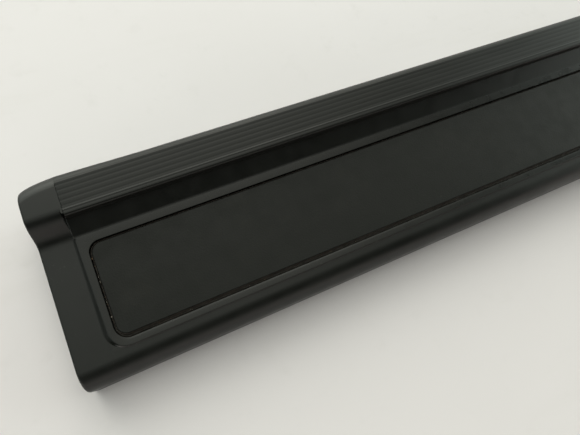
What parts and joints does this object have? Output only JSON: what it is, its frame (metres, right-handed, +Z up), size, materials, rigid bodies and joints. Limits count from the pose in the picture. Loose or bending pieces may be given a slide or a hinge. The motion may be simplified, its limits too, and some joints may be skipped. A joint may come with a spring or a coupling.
{
  "type": "door sill scuff plate",
  "caption": "Moulded cover for a vehicle's door sill, with a ribbed strip on its raised inner rail, a framed tread inlay and push-in clips underneath.",
  "frame": {"origin": "middle of the plate, on the plane of its lower rim", "axes": "+X along the sill, +Y into the vehicle, +Z up"},
  "size_m": [0.48, 0.082, 0.026],
  "materials": {
    "moulded_plastic": "satin black moulded plastic with a fine grain",
    "strip_plastic": "satin black extruded plastic",
    "inlay": "matt black, finely textured",
    "adhesive_film": "dull brown adhesive film",
    "foam": "matt closed-cell foam",
    "clip_nylon": "natural nylon",
    "seal_foam": "matt foam rubber",
    "felt": "needled felt"
  },
  "bodies": {
    "plate": {"sill_moulding": "moulded_plastic", "ribbed_strip": "strip_plastic", "inlay_plate": "inlay", "inlay_adhesive": "adhesive_film", "front_foam_tape": "foam", "rear_foam_tape": "foam", "locating_clip": "clip_nylon", "clip_seal_3": "seal_foam", "felt_pad_1": "felt", "felt_pad_2": "felt", "felt_pad_3": "felt", "felt_pad_4": "felt"},
    "clip_1": {"retaining_clip_1": "clip_nylon", "clip_seal_1": "seal_foam"},
    "clip_2": {"retaining_clip_2": "clip_nylon", "clip_seal_2": "seal_foam"},
    "clip_4": {"retaining_clip_4": "clip_nylon", "clip_seal_4": "seal_foam"},
    "clip_5": {"retaining_clip_5": "clip_nylon", "clip_seal_5": "seal_foam"}
  },
  "joints": [
    {"name": "clip_1_float", "type": "slide", "parent": "plate", "child": "clip_1", "axis": [1, 0, 0], "range_m": [-0.0015, 0.0015]},
    {"name": "clip_2_float", "type": "slide", "parent": "plate", "child": "clip_2", "axis": [1, 0, 0], "range_m": [-0.0015, 0.0015]},
    {"name": "clip_4_float", "type": "slide", "parent": "plate", "child": "clip_4", "axis": [1, 0, 0], "range_m": [-0.0015, 0.0015]},
    {"name": "clip_5_float", "type": "slide", "parent": "plate", "child": "clip_5", "axis": [1, 0, 0], "range_m": [-0.0015, 0.0015]}
  ]
}
